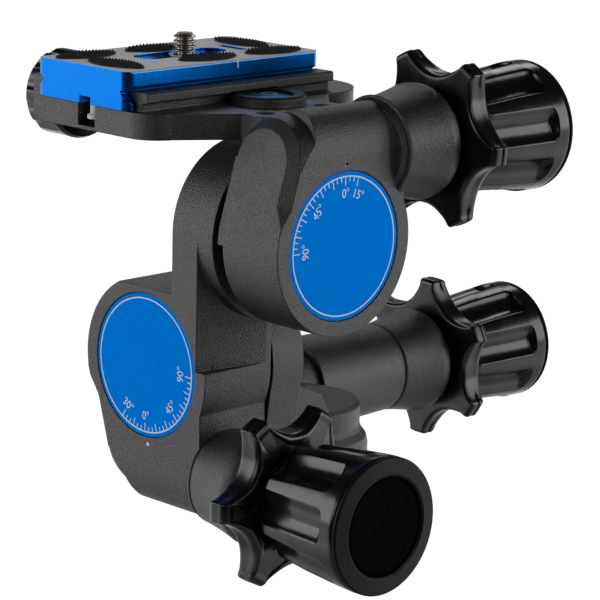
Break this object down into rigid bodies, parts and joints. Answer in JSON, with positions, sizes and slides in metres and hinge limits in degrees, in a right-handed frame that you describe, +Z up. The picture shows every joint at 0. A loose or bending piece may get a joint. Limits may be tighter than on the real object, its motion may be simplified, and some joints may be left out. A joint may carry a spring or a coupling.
{
  "type": "geared tripod head",
  "caption": "Geared tripod head with worm-driven pan, tilt and roll axes, fluted knobs with release rings, blue angle dials and a quick-release camera plate.",
  "frame": {"origin": "centre of the tripod thread at the underside of the base, on the pan axis", "axes": "+Z up along the pan axis; +X along the pan and roll knobs; -Y towards the roll dial and the tilt knob"},
  "size_m": [0.1889, 0.1348, 0.1367],
  "materials": {
    "black_paint": "fine-textured black powder coat",
    "black_satin": "satin black anodised",
    "black_gloss": "glossy black",
    "black_cap": "fine-brushed black",
    "dial": "printed blue disc with white scale",
    "blue_alloy": "blue anodised, machined bright on top",
    "steel": "machined steel",
    "bronze": "machined bronze",
    "pad_rubber": "knurled black rubber",
    "level_green": "green liquid level"
  },
  "bodies": {
    "base": {"base_plate": "black_paint", "thread_insert": "steel", "base_screws": "steel", "pan_spindle": "steel", "pan_wheel": "bronze", "spindle_nut": "steel"},
    "pan": {"pan_housing": "black_paint", "thrust_ring": "bronze", "pan_neck": "black_satin", "pan_bushes": "bronze", "tilt_shaft": "steel", "tilt_wheel": "bronze", "tilt_dial": "dial"},
    "tilt": {"tilt_housing": "black_paint", "tilt_neck": "black_satin", "tilt_bushes": "bronze", "roll_shaft": "steel", "roll_wheel": "bronze", "roll_dial": "dial"},
    "roll": {"roll_housing": "black_paint", "roll_neck": "black_satin", "roll_bushes": "bronze", "clamp_base": "black_paint", "clamp_base_screws": "steel", "level_ring": "steel", "level_vial": "level_green", "jaw_guide_pins": "steel"},
    "jaw": {"moving_jaw": "black_paint"},
    "clamp_handle": {"clamp_screw": "steel", "clamp_knob": "black_gloss", "clamp_knob_cap": "black_cap"},
    "pin": {"safety_pin": "steel"},
    "plate": {"quick_plate": "blue_alloy", "plate_pads": "pad_rubber"},
    "clip": {"screw_clip": "steel"},
    "screw": {"camera_screw": "steel"},
    "pan_handle": {"pan_knob": "black_gloss", "pan_knob_ring": "black_satin", "pan_knob_cap": "black_cap", "pan_worm": "steel"},
    "pan_lever": {"pan_release": "black_satin", "pan_spring": "steel"},
    "tilt_handle": {"tilt_knob": "black_gloss", "tilt_knob_ring": "black_satin", "tilt_knob_cap": "black_cap", "tilt_worm": "steel"},
    "tilt_lever": {"tilt_release": "black_satin", "tilt_spring": "steel"},
    "roll_handle": {"roll_knob": "black_gloss", "roll_knob_ring": "black_satin", "roll_knob_cap": "black_cap", "roll_worm": "steel"},
    "roll_lever": {"roll_release": "black_satin", "roll_spring": "steel"}
  },
  "joints": [
    {"name": "pan_turn", "type": "hinge", "parent": "base", "child": "pan", "pos_m": [0, 0, 0], "axis": [0, 0, 1], "continuous": true},
    {"name": "tilt_turn", "type": "hinge", "parent": "pan", "child": "tilt", "pos_m": [-0.057, 0, 0.0475], "axis": [-1, 0, 0], "range_deg": [-30, 90]},
    {"name": "roll_turn", "type": "hinge", "parent": "tilt", "child": "roll", "pos_m": [-0.033, -0.0504, 0.0853], "axis": [0, -1, 0], "range_deg": [-15, 90]},
    {"name": "pan_knob_turn", "type": "hinge", "parent": "pan", "child": "pan_handle", "pos_m": [0, 0.0236, 0.024], "axis": [1, 0, 0], "continuous": true},
    {"name": "tilt_knob_turn", "type": "hinge", "parent": "tilt", "child": "tilt_handle", "pos_m": [-0.0478, 0, 0.0198], "axis": [0, -1, 0], "range_deg": [-1440, 4320]},
    {"name": "roll_knob_turn", "type": "hinge", "parent": "roll", "child": "roll_handle", "pos_m": [-0.033, -0.0412, 0.1081], "axis": [1, 0, 0], "range_deg": [-720, 4320]},
    {"name": "pan_release_turn", "type": "hinge", "parent": "pan", "child": "pan_lever", "pos_m": [0, 0.0236, 0.024], "axis": [1, 0, 0], "range_deg": [0, 25], "stiffness_Nm_per_rad": 0.4},
    {"name": "tilt_release_turn", "type": "hinge", "parent": "tilt", "child": "tilt_lever", "pos_m": [-0.0478, 0, 0.0198], "axis": [0, -1, 0], "range_deg": [0, 25], "stiffness_Nm_per_rad": 0.4},
    {"name": "roll_release_turn", "type": "hinge", "parent": "roll", "child": "roll_lever", "pos_m": [-0.033, -0.0412, 0.1081], "axis": [1, 0, 0], "range_deg": [0, 25], "stiffness_Nm_per_rad": 0.4},
    {"name": "jaw_slide", "type": "slide", "parent": "roll", "child": "jaw", "axis": [0, 1, 0], "range_m": [0, 0.0025]},
    {"name": "clamp_turn", "type": "hinge", "parent": "jaw", "child": "clamp_handle", "pos_m": [-0.045, 0.0375, 0.1146], "axis": [0, 1, 0], "range_deg": [0, 1080]},
    {"name": "safety_pin_press", "type": "slide", "parent": "roll", "child": "pin", "axis": [0, 0, -1], "range_m": [0, 0.0016], "stiffness_N_per_m": 300},
    {"name": "plate_slide", "type": "slide", "parent": "roll", "child": "plate", "axis": [1, 0, 0], "range_m": [-0.0005, 0.02]},
    {"name": "screw_slide", "type": "slide", "parent": "plate", "child": "clip", "axis": [1, 0, 0], "range_m": [-0.008, 0.005]},
    {"name": "camera_screw_turn", "type": "hinge", "parent": "clip", "child": "screw", "pos_m": [-0.0315, 0.014, 0.1283], "axis": [0, 0, 1], "continuous": true}
  ],
  "couplings": [
    {"joint": "pan_knob_turn", "follows": "pan_turn", "ratio": -48},
    {"joint": "tilt_knob_turn", "follows": "tilt_turn", "ratio": 48},
    {"joint": "roll_knob_turn", "follows": "roll_turn", "ratio": 48},
    {"joint": "jaw_slide", "follows": "clamp_turn", "m_per_rad": 0.00012732}
  ]
}
